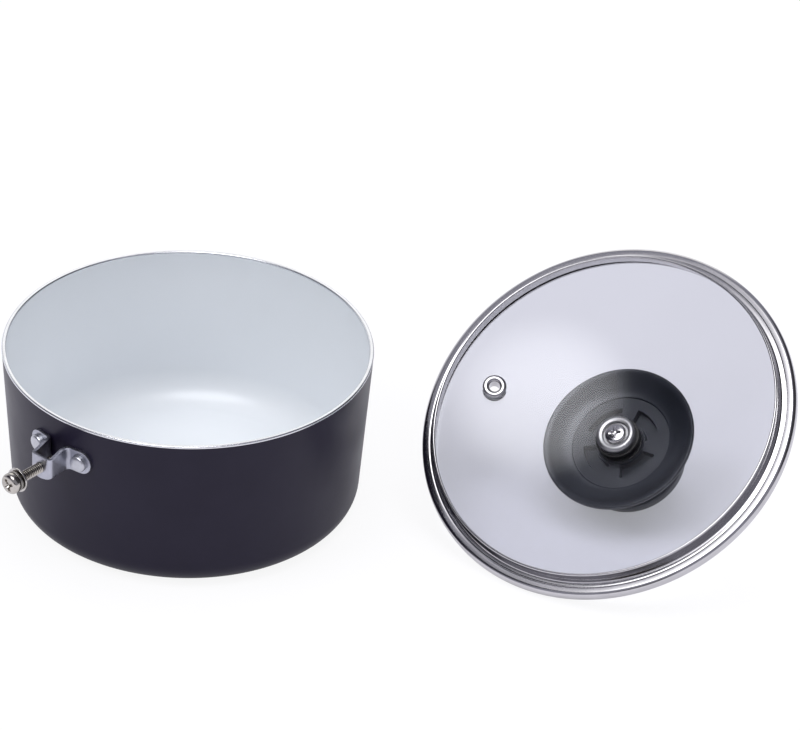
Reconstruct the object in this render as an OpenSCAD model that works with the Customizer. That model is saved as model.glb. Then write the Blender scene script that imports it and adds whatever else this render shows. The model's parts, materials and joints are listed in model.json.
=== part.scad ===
// Fondue pot: a coated aluminium pot with a screw-on handle bracket, and its
// loose glass lid, which leans upside down on its own knob beside the pot.
// The origin is the middle of the pot's base, +Z is up, and the handle
// bracket faces -X.  Millimetres.

/* [Pot] */
// Outer diameter of the pot at its rim
pot_rim_d = 164; // [150:1:190]
// Height of the pot
pot_h = 76.5; // [66:0.5:100]
// Lean of the wall from upright, in degrees
wall_taper = 4.1; // [2:0.1:5]
// Thickness of the wall at the rim
rim_t = 2; // [1.6:0.1:3]
// Thickness of the wall at the foot
foot_t = 2.1; // [1.6:0.1:3]
// Thickness of the floor, over its lining
floor_t = 3.4; // [2.6:0.1:5]
// Outer radius of the corner between the base and the wall
corner_r = 11.5; // [8:0.5:16]
// Inner radius of the corner between the floor and the wall
inner_corner_r = 15; // [10:0.5:20]
// Height of the straight land inside the mouth
land_h = 9; // [7:0.5:14]
// Height of the bare metal lip at the rim
lip_h = 1; // [0.8:0.1:1.6]
// Radius that rounds the lip's edges
lip_round = 0.6; // [0.3:0.1:0.7]
// Thickness of the dark outer coating
coat_t = 0.2; // [0.1:0.05:0.4]
// Thickness of the white lining
lining_t = 0.2; // [0.1:0.05:0.4]
// Number of turned rings under the base
base_rings = 6; // [3:1:8]

/* [Handle bracket] */
// Depth of the bracket's middle below the rim
strip_drop = 17.7; // [16:0.1:22]
// Height of the bent strip
strip_h = 11.2; // [9:0.1:14]
// Thickness of the strip
strip_t = 1.5; // [1.2:0.1:2]
// Outer width of the bracket's channel
channel_w = 11.4; // [10:0.2:13]
// Distance from the wall to the outside of the front plate
standoff = 13; // [10:0.5:18]
// Outer radius of the channel's front bends
bend_r = 2.2; // [1.8:0.1:3]
// Radius of the bends from the legs to the ears
ear_bend_r = 2; // [1.5:0.1:3]
// Distance of each rivet from the bracket's middle, along the wall
rivet_y = 11.7; // [11.5:0.1:14]
// How far the front plate's rounded edge reaches below the strip
tab_drop = 1.8; // [0.5:0.1:2.4]
// How far the front plate's top edge lies below the strip's
plate_drop = 2.3; // [0.2:0.1:3]
// Diameter of the rivets' shanks
rivet_d = 4; // [3:0.5:5]
// Diameter of the rivets' outer heads
rivet_head_d = 7.8; // [6:0.2:9]
// Height of the rivets' outer heads
rivet_head_h = 2.8; // [2:0.1:3.4]
// Height of the rivets' inner heads
rivet_inner_h = 1.4; // [1:0.1:2]

/* [Handle screw] */
// Crest diameter of the thread
screw_d = 4.8; // [4:0.1:6]
// Pitch of the thread
screw_pitch = 1.06; // [0.8:0.02:1.3]
// Length under the head
screw_len = 25.4; // [23:0.1:27]
// Distance from the front plate to the underside of the head
screw_out = 16.4; // [14.5:0.1:18]
// How far the screw's axis lies below the strip's middle
screw_drop = 2.2; // [0:0.1:3]
// Diameter of the pan head
head_d = 9.5; // [8.5:0.1:11]
// Height of the pan head
head_h = 3.5; // [3:0.1:4.2]
// Outer diameter of the flat washer
washer_d = 11; // [9.5:0.1:12]
// Thickness of the flat washer
washer_t = 1; // [0.8:0.1:1.4]
// Outer diameter of the split spring washer
spring_d = 9.4; // [8.6:0.1:10]
// Thickness of the spring washer's wire
spring_t = 1.2; // [1:0.1:1.4]
// Free height of the spring washer
spring_h = 2.1; // [1.8:0.1:2.6]

/* [Lid] */
// How far the steel rim band reaches past the pot's rim
band_out = 3.6; // [2.6:0.1:8]
// Height of the rim band
band_h = 5.6; // [5:0.1:7]
// Thickness of the band's sheet
sheet_t = 0.7; // [0.5:0.05:0.8]
// Radius of the band's outer edges
band_round = 1.6; // [1:0.1:2.2]
// Clearance between the lid's skirt and the pot's mouth, on the radius
skirt_gap = 0.7; // [0.4:0.1:1.2]
// Depth of the skirt below the flange
skirt_h = 6; // [4:0.5:7]
// How far the skirt draws in towards its lower lip
skirt_draw = 0.6; // [0:0.1:1]
// Radius of the skirt's rolled lip
skirt_lip_r = 0.6; // [0.4:0.1:0.8]
// Rise of the glass's inner surface above the flange, at the middle
dome_rise = 19; // [12:0.5:24]
// Distance from the skirt in to the middle of the steam vent
vent_inset = 18.3; // [13:0.1:28]
// Direction of the steam vent on the lid, in degrees
vent_az = 88; // [0:1:359]
// Outer diameter of the steam vent's steel rings
vent_d = 10.8; // [9:0.2:12]
// Diameter of the steam vent's bore
vent_bore_d = 4.8; // [4:0.2:5.4]

/* [Knob] */
// Diameter of the knob's base skirt
knob_base_d = 70; // [60:1:72]
// Diameter of the knob's grip disc
grip_d = 49.4; // [46:0.2:56]
// Height of the knob's top above the lid's flange
knob_top_z = 48.8; // [46:0.2:56]
// Height of the grip disc at its edge
grip_h = 6.2; // [5:0.2:8]
// Radius that rounds the grip's top edge
grip_round = 3; // [2:0.2:4]
// Diameter of the knob's waist
waist_d = 23; // [20:1:26]
// Diameter of the flat inside the knob's skirt
hub_d = 45; // [40:1:46]
// Depth of the pockets in the knob's underside
pocket_h = 2.4; // [1.5:0.1:2.8]
// Direction of the first pocket on the lid, in degrees
pocket_az = 31; // [0:1:89]
// Outer diameter of the cup washer under the knob's screw
cup_d = 18.2; // [15:0.2:19]
// Height of the cup washer
cup_h = 4; // [2:0.1:5]

/* [Where the lid lies] */
// Plan gap between the pot's rim and the lid's rim
lid_gap = 18.3; // [12:0.1:60]
// Direction of the lid from the pot, in degrees
lid_az = -53.1; // [-90:0.1:0]
// Direction of the point where the lid's rim touches the table, in degrees
low_az = -173; // [-180:1:180]

/* [Hidden] */
$fn = 96;
// Overrun of every cut past the face that it opens
over = 1;
// Smallest gap between turning or sliding pieces
fit_gap = 0.05;
// Straight steps in a quarter of a turned outline's curve
arc_steps = 8;

// Pot: the outer line leans out to the rim, and the corner's circle touches it and the base
rim_r = pot_rim_d / 2;
mouth_r = rim_r - rim_t;
lip_z = pot_h - lip_h;
land_z = pot_h - land_h;
corner_x = wall_r(corner_r) - corner_r / cos(wall_taper);
inner_top = [mouth_r, land_z];
inner_foot_z = floor_t + inner_corner_r;
inner_foot = [wall_r(inner_foot_z) - foot_t, inner_foot_z];
inner_taper = atan2(inner_top.x - inner_foot.x, inner_top.y - inner_foot.y);
inner_corner_x = inner_foot.x - inner_corner_r / cos(inner_taper);
base_ring_w = 1.4;
base_ring_t = 0.35;
base_ring_share = 0.9;

// Bracket: drawn with +X outwards, then turned to face -X
bracket_az = 180;
strip_z = pot_h - strip_drop;
wall_x = wall_r(strip_z);
plate_x = wall_x + standoff;
ear_r = strip_h / 2;
strip_top = strip_z + ear_r;
leg_y = channel_w / 2;
tab_r = leg_y + strip_t;
slope_x = wall_x + strip_t + ear_bend_r;
rivet_az = asin(rivet_y / wall_x);
rivet_hole_r = rivet_d / 2;
rivet_inner_d = rivet_head_d + rivet_inner_h;
rivet_back_gap = 0.1;
bracket_reach = plate_x + strip_h;

// Screw
thread_r = screw_d / 2;
thread_share = 0.61;
thread_h = screw_pitch * thread_share;
screw_z = strip_z - screw_drop;
head_x = plate_x + screw_out;
tip_h = screw_pitch;
head_edge_share = 0.45;
head_top_share = 0.52;
cross_w = 1.1;
cross_l = 5.2;
cross_h = 2.2;
cross_core_r = 1.3;
washer_gap = 0.3;
washer_bore_r = thread_r + 3 * fit_gap;
spring_steps = 30;
spring_split = 10;
washer_x = head_x - spring_h - washer_gap - washer_t;

// Lid: z = 0 is the underside of the flange that rests on the pot's rim
band_r = rim_r + band_out;
skirt_r = mouth_r - skirt_gap;
glass_t = band_h - 2 * sheet_t;
glass_z = sheet_t;
glass_edge_r = band_r - sheet_t;
dome_edge_r = skirt_r;
dome_sag = dome_rise - glass_z;
dome_r = (pow(dome_edge_r, 2) + pow(dome_sag, 2)) / (2 * dome_sag);
dome_z = dome_rise - dome_r;
dome_out_r = dome_r + glass_t;
dome_out_edge = sqrt(pow(dome_out_r, 2) - pow(glass_z + glass_t - dome_z, 2));
lap_gap = 0.2;
top_lap_r = dome_out_edge + lap_gap;
skirt_lip_turn = 100;

// Vent: drawn with z = 0 on the glass's inner face and +Z to the outside
vent_r = vent_d / 2;
vent_bore_r = vent_bore_d / 2;
vent_tube_t = 0.6;
vent_ring_t = 1.2;
vent_round = 0.55;
vent_seal_t = 0.8;
vent_tube_r = vent_bore_r + vent_tube_t;
vent_hole_r = vent_tube_r + vent_seal_t;
vent_seal_r = vent_r - vent_ring_t / 2;
vent_flare_r = vent_tube_r + vent_ring_t;
vent_reach = skirt_r - vent_inset;
vent_tilt = asin(vent_reach / dome_r);
vent_seat = dome_r - sqrt(pow(dome_r, 2) - pow(vent_seal_r, 2)) + fit_gap;

// Knob, its screw and its seals, from the glass outwards
knob_base_r = knob_base_d / 2;
grip_r = grip_d / 2;
waist_r = waist_d / 2;
hub_r = hub_d / 2;
boss_r = 10.6;
seal_r = 10;
seal_t = 1.4;
bush_t = 1.1;
bush_r = 4.4;
centre_hole_r = bush_r + fit_gap;
cup_r = cup_d / 2;
cup_recess_r = 5.9;
cup_recess_h = 1.8;
cup_round = 0.8;
knob_head_d = 9.7;
knob_head_h = 2.4;
knob_screw_len = 20;
glass_top_z = dome_rise + glass_t;
seal_z = dome_in(seal_r) - seal_t;
cup_z = seal_z - cup_h;
knob_head_z = cup_z + cup_recess_h;
boss_z = glass_top_z + bush_t;
hub_lift = 1;
hub_z = boss_z + hub_lift;
base_seat_gap = 0.1;
base_lip_w = 2.4;
base_edge_t = 2.2;
base_edge_r = 0.9;
base_z = dome_out(knob_base_r - base_edge_r) + base_seat_gap;
waist_z = hub_z + 12;
grip_z = knob_top_z - grip_h;
grip_edge_r = 1.2;
dish_drop = 0.5;
pocket_in_r = 11.2;
pocket_out_r = 17.4;
pocket_span = 65;
pockets = 4;
insert_r = 4.2;
insert_len = 14;
insert_z = boss_z + sheet_t;
insert_groove = 0.5;

// Lean: the lid's rim and the grip's edge both touch the table
rim_touch = [band_r - band_round, band_h - band_round];
grip_touch = [grip_r - grip_round, knob_top_z - grip_round];
touch_run = rim_touch.x - grip_touch.x;
touch_rise = grip_touch.y - rim_touch.y;
touch_len = norm([touch_run, touch_rise]);
lean = atan2(touch_rise, touch_run) + asin((grip_round - band_round) / touch_len);
lid_z = sin(lean) * rim_touch.x + cos(lean) * rim_touch.y + band_round;
lid_reach = rim_r + band_r + lid_gap;

// Radius of the pot's outer line at a height
function wall_r(z) = rim_r - (pot_h - z) * tan(wall_taper);

// Height of the glass's inner and outer faces at a radius
function dome_in(r) = dome_z + sqrt(pow(dome_r, 2) - pow(r, 2));
function dome_out(r) = dome_z + sqrt(pow(dome_out_r, 2) - pow(r, 2));

// Points of an arc, from one angle to another
function arc(c, r, a, b, steps = arc_steps) =
  [for (i = [0:steps]) c + r * [cos(a + (b - a) * i / steps), sin(a + (b - a) * i / steps)]];

// Points of a curve from p to q that is pulled towards m
function bow(p, m, q, steps = arc_steps) =
  [for (i = [0:steps]) let (t = i / steps) pow(1 - t, 2) * p + 2 * t * (1 - t) * m + pow(t, 2) * q];

// The pot's outer face, moved in by d, from the base to height z
function outer_line(d, z) = concat(
  arc([corner_x, corner_r], corner_r - d, -90, -wall_taper),
  [[wall_r(z) - d / cos(wall_taper), z]]);

// The pot's inner face, moved out by d, from height z down to the floor's middle
function inner_line(d, z) = concat(
  [[mouth_r + d, z], inner_top + [d, 0]],
  arc([inner_corner_x, inner_foot_z], inner_corner_r + d, -inner_taper, -90),
  [[0, floor_t - d]]);

// Places its children, drawn with +X outwards from the pot's axis, at the bracket
module at_bracket() {
  rotate([0, 0, bracket_az])
    children();
}

// Places its children, drawn along +Z from the wall's outer face, at a rivet
module at_rivet(side) {
  at_bracket()
    rotate([0, 0, side * rivet_az])
      translate([wall_x, 0, strip_z])
        rotate([0, 90 + wall_taper, 0])
          children();
}

// Places its children, drawn along +Z from the screw's tip, on the screw's axis
module at_screw(x) {
  at_bracket()
    translate([x, 0, screw_z])
      rotate([0, 90, 0])
        children();
}

// Places the lid, drawn closed, where it leans upside down on its knob
module at_lid() {
  rotate([0, 0, lid_az])
    translate([lid_reach, 0, lid_z])
      rotate([0, 0, low_az - lid_az])
        rotate([0, lean, 0])
          rotate([180, 0, 0])
            children();
}

// Places its children, drawn from the glass's inner face outwards, at the vent
module at_vent() {
  at_lid()
    rotate([0, 0, vent_az])
      translate([0, 0, dome_z])
        rotate([0, vent_tilt, 0])
          translate([0, 0, dome_r])
            children();
}

module rivet_holes() {
  for (side = [-1, 1])
    at_rivet(side)
      translate([0, 0, -rim_t - foot_t])
        cylinder(r = rivet_hole_r, h = rim_t + foot_t + strip_t + over);
}

module pot_body() {
  profile = concat(
    [[0, 0], [corner_x, 0]],
    outer_line(coat_t, lip_z),
    [[wall_r(lip_z), lip_z]],
    arc([rim_r - lip_round, pot_h - lip_round], lip_round, 0, 90),
    arc([mouth_r + lip_round, pot_h - lip_round], lip_round, 90, 180),
    [[mouth_r, lip_z]],
    inner_line(lining_t, lip_z));
  color("silver")
    difference() {
      rotate_extrude()
        polygon(profile);
      for (i = [1:base_rings])
        rotate_extrude()
          translate([corner_x * base_ring_share * i / base_rings, 0])
            polygon([[-base_ring_w, -over], [base_ring_w, -over], [0, base_ring_t]]);
      rivet_holes();
    }
}

module exterior_coating() {
  color([0.19, 0.18, 0.23])
    difference() {
      rotate_extrude()
        polygon(concat(
          [for (p = outer_line(coat_t, lip_z)) p],
          [let (face = outer_line(0, lip_z)) for (i = [len(face) - 1:-1:0]) face[i]]));
      rivet_holes();
    }
}

module ceramic_lining() {
  color("white")
    difference() {
      rotate_extrude()
        polygon(concat(
          inner_line(lining_t, lip_z),
          [let (face = inner_line(0, lip_z)) for (i = [len(face) - 1:-1:0]) face[i]]));
      rivet_holes();
    }
}

// Half of the channel in plan: along the front plate, round the bend, down
// the leg and round onto the ear
module channel_plan() {
  ear_y = leg_y + ear_bend_r;
  polygon(concat(
    [[plate_x, 0]],
    arc([plate_x - bend_r, leg_y - bend_r], bend_r, 0, 90),
    arc([slope_x, ear_y], ear_bend_r, 270, 180),
    [[wall_x + strip_t, ear_y], [wall_x, ear_y]],
    arc([slope_x, ear_y], ear_bend_r + strip_t, 180, 270),
    arc([plate_x - bend_r, leg_y - bend_r], bend_r - strip_t, 90, 0),
    [[plate_x - strip_t, 0]]));
}

// What is cut off the channel, so that its top edges slope down to the front plate
module channel_slope() {
  rotate([90, 0, 0])
    linear_extrude(2 * channel_w, center = true)
      polygon([
        [slope_x, strip_top],
        [plate_x - bend_r, strip_top - plate_drop],
        [plate_x + over, strip_top - plate_drop],
        [plate_x + over, strip_top + over],
        [slope_x, strip_top + over]
      ]);
}

module handle_bracket() {
  color([0.75, 0.77, 0.8])
    difference() {
      at_bracket() {
        difference() {
          translate([0, 0, strip_z - ear_r])
            linear_extrude(strip_h)
              for (side = [0, 1])
                mirror([0, side, 0])
                  channel_plan();
          channel_slope();
        }
        intersection() {
          translate([plate_x - strip_t, 0, strip_z - ear_r - tab_drop + tab_r])
            rotate([0, 90, 0])
              cylinder(r = tab_r, h = strip_t);
          translate([wall_x, -leg_y + bend_r, strip_z - strip_h])
            cube([standoff + over, channel_w - 2 * bend_r, strip_h]);
        }
        intersection() {
          rotate_extrude()
            polygon([
              [wall_r(strip_z - strip_h), strip_z - strip_h],
              [wall_r(strip_z - strip_h) + strip_t, strip_z - strip_h],
              [wall_r(strip_z + strip_h) + strip_t, strip_z + strip_h],
              [wall_r(strip_z + strip_h), strip_z + strip_h]
            ]);
          for (side = [-1, 1])
            translate([0, 0, strip_z])
              rotate([0, 90, 0])
                linear_extrude(bracket_reach) {
                  translate([0, side * rivet_y])
                    circle(r = ear_r);
                  translate([-ear_r, side * (leg_y + rivet_y) / 2 - (rivet_y - leg_y) / 2])
                    square([strip_h, rivet_y - leg_y]);
                }
        }
      }
      translate([0, 0, strip_z - strip_h])
        cylinder(
          r1 = wall_r(strip_z - strip_h), r2 = wall_r(strip_z + strip_h), h = 2 * strip_h);
      at_screw(wall_x)
        cylinder(r = thread_r + fit_gap, h = standoff + over);
      rivet_holes();
    }
}

// A domed head outside, a shank through the wall, and a flatter head inside
module rivet(side) {
  dome = (pow(rivet_head_d / 2, 2) + pow(rivet_head_h, 2)) / (2 * rivet_head_h);
  back = rim_t + rivet_back_gap;
  inner_dome = (pow(rivet_inner_d / 2, 2) + pow(rivet_inner_h, 2)) / (2 * rivet_inner_h);
  color("gainsboro")
    at_rivet(side) {
      intersection() {
        translate([0, 0, strip_t + rivet_head_h - dome])
          sphere(r = dome);
        translate([0, 0, strip_t])
          cylinder(r = rivet_head_d / 2, h = rivet_head_h + over);
      }
      translate([0, 0, -back])
        cylinder(r = rivet_hole_r, h = back + strip_t);
      intersection() {
        translate([0, 0, inner_dome - back - rivet_inner_h])
          sphere(r = inner_dome);
        translate([0, 0, -back - rivet_inner_h - over])
          cylinder(r = rivet_inner_d / 2, h = rivet_inner_h + over);
      }
    }
}

// A thread of ring grooves with a cone at its tip, a pan head and a cross
// recess: z = 0 is the tip, and the head lies beyond z = len
module machine_screw(len, d, h) {
  root_r = thread_r - thread_h;
  turns = floor((len - tip_h - screw_pitch) / screw_pitch);
  edge = h * head_edge_share;
  cap_r = d / 2 * head_top_share;
  difference() {
    rotate_extrude()
      polygon(concat(
        [[0, 0], [root_r, 0]],
        [for (i = [0:turns - 1]) each [
          [root_r, tip_h + i * screw_pitch],
          [thread_r, tip_h + (i + 1 / 2) * screw_pitch]
        ]],
        [[root_r, tip_h + turns * screw_pitch], [root_r, len], [d / 2, len]],
        bow([d / 2, len + edge], [d / 2, len + h], [cap_r, len + h]),
        [[0, len + h]]));
    for (turn = [0, 90])
      rotate([0, 0, turn])
        translate([-cross_l / 2, -cross_w / 2, len + h - cross_h / 2])
          cube([cross_l, cross_w, cross_h]);
    translate([0, 0, len + h - cross_h])
      cylinder(r1 = cross_w / 2, r2 = cross_core_r, h = cross_h + over);
  }
}

module handle_screw() {
  color([0.72, 0.7, 0.66])
    at_screw(head_x - screw_len)
      machine_screw(screw_len, head_d, head_h);
}

// One turn of square wire, its ends set apart by the free height
module spring_washer() {
  rise = spring_h - spring_t;
  inner = thread_r + 2 * fit_gap;
  corners = [[inner, 0], [spring_d / 2, 0], [spring_d / 2, spring_t], [inner, spring_t]];
  sides = len(corners);
  points = [for (i = [0:spring_steps]) each [for (c = corners) let (
    a = spring_split / 2 + (360 - spring_split) * i / spring_steps)
    [c.x * cos(a), c.x * sin(a), c.y + rise * i / spring_steps]]];
  last = spring_steps * sides;
  walls = [for (i = [0:spring_steps - 1]) each [for (k = [0:sides - 1]) let (
    a = i * sides + k, b = i * sides + (k + 1) % sides)
    each [[a, a + sides, b + sides], [a, b + sides, b]]]];
  color([0.62, 0.61, 0.58])
    at_screw(head_x - spring_h)
      polyhedron(points, concat(
        walls,
        [[0, 1, 2], [0, 2, 3]],
        [[last, last + 2, last + 1], [last, last + 3, last + 2]]));
}

module flat_washer() {
  color([0.78, 0.77, 0.75])
    at_screw(washer_x)
      difference() {
        cylinder(r = washer_d / 2, h = washer_t);
        translate([0, 0, -over])
          cylinder(r = washer_bore_r, h = washer_t + 2 * over);
      }
}

// One bent sheet: top lap, outer wall, flange and skirt with a rolled lip
module lid_rim_band() {
  lip = [skirt_r - skirt_draw - skirt_lip_r, skirt_lip_r - skirt_h];
  inner_round = band_round - sheet_t;
  color([0.8, 0.8, 0.82])
    at_lid()
      rotate_extrude()
        polygon(concat(
          [[top_lap_r, band_h]],
          arc([band_r - band_round, band_h - band_round], band_round, 90, 0),
          arc([band_r - band_round, band_round], band_round, 0, -90),
          [[skirt_r, 0]],
          arc(lip, skirt_lip_r, 0, skirt_lip_turn - 360),
          [[skirt_r - sheet_t, sheet_t]],
          arc([band_r - band_round, band_round], inner_round, -90, 0),
          arc([band_r - band_round, band_h - band_round], inner_round, 0, 90),
          [[top_lap_r, band_h - sheet_t]]));
}

module lid_glass() {
  inner_round = band_round - sheet_t;
  color([0.82, 0.84, 0.9, 0.5])
    difference() {
      at_lid() {
        intersection() {
          difference() {
            translate([0, 0, dome_z])
              sphere(r = dome_out_r, $fn = 2 * $fn);
            translate([0, 0, dome_z])
              sphere(r = dome_r, $fn = 2 * $fn);
          }
          translate([0, 0, glass_z])
            cylinder(r = dome_out_edge, h = dome_rise + glass_t);
        }
        rotate_extrude()
          polygon(concat(
            [[dome_edge_r - sheet_t, glass_z]],
            arc([band_r - band_round, glass_z + inner_round], inner_round, -90, 0),
            arc([band_r - band_round, glass_z + glass_t - inner_round], inner_round, 0, 90),
            [[dome_edge_r - sheet_t, glass_z + glass_t]]));
      }
      at_lid()
        cylinder(r = centre_hole_r, h = dome_rise + glass_t + over);
      at_vent()
        translate([0, 0, -over])
          cylinder(r = vent_hole_r + fit_gap, h = glass_t + 2 * over);
    }
}

// The tube, its rolled ring inside the lid and its flared end outside
module vent_eyelet() {
  ring_z = -vent_seal_t - vent_ring_t;
  end_z = glass_t + vent_seal_t + vent_ring_t;
  color([0.75, 0.75, 0.75])
    at_vent()
      rotate_extrude()
        polygon(concat(
          [[vent_bore_r, ring_z + vent_round]],
          arc([vent_bore_r + vent_round, ring_z + vent_round], vent_round, 180, 270),
          arc([vent_r - vent_round, ring_z + vent_round], vent_round, 270, 360),
          [
            [vent_r, -vent_seal_t], [vent_tube_r, -vent_seal_t],
            [vent_tube_r, end_z - vent_tube_t], [vent_flare_r, end_z - vent_tube_t]
          ],
          arc([vent_flare_r - vent_tube_t / 2, end_z - vent_tube_t / 2], vent_tube_t / 2, 0, 90),
          arc([vent_bore_r + vent_tube_t, end_z - vent_tube_t], vent_tube_t, 90, 180)));
}

module vent_washer() {
  z = glass_t + vent_seal_t;
  color([0.75, 0.75, 0.75])
    at_vent()
      rotate_extrude()
        polygon(concat(
          [[vent_tube_r, z], [vent_r, z]],
          arc([vent_r - vent_tube_t, z], vent_tube_t, 0, 90),
          [[vent_tube_r, z + vent_tube_t]]));
}

module vent_gasket() {
  color([0.85, 0.85, 0.85, 0.7])
    at_vent()
      rotate_extrude()
        polygon([
          [vent_tube_r, -vent_seal_t], [vent_seal_r, -vent_seal_t], [vent_seal_r, -vent_seat],
          [vent_hole_r, -vent_seat], [vent_hole_r, glass_t], [vent_seal_r, glass_t],
          [vent_seal_r, glass_t + vent_seal_t], [vent_tube_r, glass_t + vent_seal_t]
        ]);
}

// Arc pocket in the hub's face, between two spokes
module pocket() {
  rotate([0, 0, -pocket_span / 2])
    rotate_extrude(angle = pocket_span)
      translate([pocket_in_r, 0])
        square([pocket_out_r - pocket_in_r, pocket_h + over]);
}

module knob_body() {
  lip_in_r = knob_base_r - base_lip_w;
  edge_z = base_z + base_edge_t;
  top_r = grip_r - grip_round;
  color([0.16, 0.17, 0.19])
    at_lid()
      difference() {
        rotate_extrude()
          polygon(concat(
            [[0, boss_z], [boss_r, boss_z], [boss_r, hub_z], [hub_r, hub_z]],
            bow([hub_r, hub_z], [(hub_r + lip_in_r) / 2, hub_z - hub_lift],
              [lip_in_r, dome_out(lip_in_r) + base_seat_gap]),
            [[knob_base_r - base_edge_r, base_z]],
            arc([knob_base_r - base_edge_r, base_z + base_edge_r], base_edge_r, -90, 0),
            arc([knob_base_r - base_edge_r, edge_z - base_edge_r], base_edge_r, 0, 90),
            bow([knob_base_r - base_lip_w, edge_z], [waist_r + hub_lift, (hub_z + waist_z) / 2],
              [waist_r, waist_z]),
            bow([waist_r, waist_z], [waist_r + hub_lift, grip_z - hub_lift],
              [grip_r - grip_edge_r, grip_z]),
            arc([grip_r - grip_edge_r, grip_z + grip_edge_r], grip_edge_r, -90, 0),
            arc([top_r, knob_top_z - grip_round], grip_round, 0, 90),
            bow([top_r, knob_top_z], [top_r / 2, knob_top_z - dish_drop], [0, knob_top_z - dish_drop])));
        for (i = [0:pockets - 1])
          rotate([0, 0, pocket_az + i * 360 / pockets])
            translate([0, 0, hub_z - over])
              pocket();
        translate([0, 0, boss_z - over])
          cylinder(r = thread_r + fit_gap, h = insert_z + insert_len - boss_z + over);
        translate([0, 0, insert_z])
          cylinder(r = insert_r, h = insert_len);
      }
}

module knob_thread_insert() {
  color("gold")
    at_lid()
      difference() {
        translate([0, 0, insert_z])
          cylinder(r = insert_r, h = insert_len);
        translate([0, 0, insert_z - over])
          cylinder(r = thread_r + fit_gap, h = insert_len + 2 * over);
        for (share = [1 / 3, 2 / 3])
          translate([0, 0, insert_z + insert_len * share])
            difference() {
              cylinder(r = insert_r + over, h = insert_groove);
              translate([0, 0, -over])
                cylinder(r = insert_r - insert_groove, h = insert_groove + 2 * over);
            }
      }
}

module knob_screw() {
  color([0.72, 0.7, 0.66])
    at_lid()
      translate([0, 0, knob_head_z + knob_screw_len])
        rotate([180, 0, 0])
          machine_screw(knob_screw_len, knob_head_d, knob_head_h);
}

module knob_cup_washer() {
  color([0.8, 0.8, 0.8])
    at_lid()
      rotate_extrude()
        polygon(concat(
          [[thread_r + 2 * fit_gap, knob_head_z], [cup_recess_r, knob_head_z]],
          [[cup_recess_r, cup_z]],
          arc([cup_r - cup_round, cup_z + cup_round], cup_round, -90, 0),
          [[cup_r, seal_z], [thread_r + 2 * fit_gap, seal_z]]));
}

module knob_gasket() {
  color([0.1, 0.1, 0.1])
    at_lid()
      translate([0, 0, seal_z])
        difference() {
          cylinder(r = seal_r, h = seal_t);
          translate([0, 0, -over])
            cylinder(r = thread_r + 2 * fit_gap, h = seal_t + 2 * over);
        }
}

// A sleeve through the glass with a flange between the glass and the knob
module knob_bush() {
  sleeve_z = seal_z + seal_t;
  color([0.1, 0.1, 0.1])
    at_lid()
      difference() {
        union() {
          translate([0, 0, glass_top_z])
            cylinder(r = seal_r, h = bush_t);
          translate([0, 0, sleeve_z])
            cylinder(r = bush_r, h = glass_top_z + bush_t - sleeve_z);
        }
        translate([0, 0, sleeve_z - over])
          cylinder(r = thread_r + 2 * fit_gap, h = glass_t + bush_t + 2 * over);
      }
}

pot_body();
exterior_coating();
ceramic_lining();
handle_bracket();
rivet(-1);  // bracket_rivet_1
rivet(1);  // bracket_rivet_2
handle_screw();
spring_washer();
flat_washer();
lid_rim_band();
lid_glass();
vent_eyelet();
vent_washer();
vent_gasket();
knob_body();
knob_thread_insert();
knob_screw();
knob_cup_washer();
knob_gasket();
knob_bush();
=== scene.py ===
"""Fondue pot with its glass lid: the finish and fine shapes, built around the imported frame."""

import json
from math import asin, atan2, cos, degrees, hypot, pi, radians, sin, sqrt, tan

import bmesh
import bpy
from mathutils import Matrix, Vector


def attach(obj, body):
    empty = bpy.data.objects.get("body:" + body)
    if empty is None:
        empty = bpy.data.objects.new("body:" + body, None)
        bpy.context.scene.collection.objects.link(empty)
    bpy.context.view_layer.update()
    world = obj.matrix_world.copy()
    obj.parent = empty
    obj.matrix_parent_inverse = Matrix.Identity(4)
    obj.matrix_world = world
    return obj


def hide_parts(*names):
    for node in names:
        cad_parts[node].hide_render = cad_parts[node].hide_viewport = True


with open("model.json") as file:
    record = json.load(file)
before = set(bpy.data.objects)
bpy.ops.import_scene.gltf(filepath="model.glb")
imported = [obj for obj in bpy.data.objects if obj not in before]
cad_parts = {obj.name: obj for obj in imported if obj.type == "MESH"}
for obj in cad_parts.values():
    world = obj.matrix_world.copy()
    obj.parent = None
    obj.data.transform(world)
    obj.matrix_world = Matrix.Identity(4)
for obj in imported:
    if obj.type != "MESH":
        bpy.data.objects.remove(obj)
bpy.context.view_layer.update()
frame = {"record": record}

MM = 0.001
TINY = 1e-6
ROUND_STEPS = 256
SMALL_STEPS = 96
SHARP = radians(32)

# Pot, in millimetres
POT_RIM_D = 164.0
POT_H = 76.5
WALL_TAPER = radians(4.1)
RIM_T = 2.0
FOOT_T = 2.1
FLOOR_T = 3.4
CORNER_R = 11.5
INNER_CORNER_R = 15.0
LAND_H = 9.0
LIP_H = 1.0
LIP_ROUND = 0.6
COAT_T = 0.2
BASE_RINGS = 6
BASE_RING_W = 1.4
BASE_RING_T = 0.35
BASE_RING_SHARE = 0.9

# Handle bracket and its rivets
STRIP_Z = 58.8
STRIP_H = 11.2
STRIP_T = 1.5
CHANNEL_W = 11.4
STANDOFF = 13.0
BEND_R = 2.2
EAR_BEND_R = 2.0
RIVET_Y = 11.7
TAB_DROP = 1.8
PLATE_DROP = 2.3
TAB_REACH = 9.0
RIVET_D = 4.0
RIVET_HEAD_D = 7.8
RIVET_HEAD_H = 2.8
RIVET_SIDE_SHARE = 0.5
RIVET_INNER_H = 1.4

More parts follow.
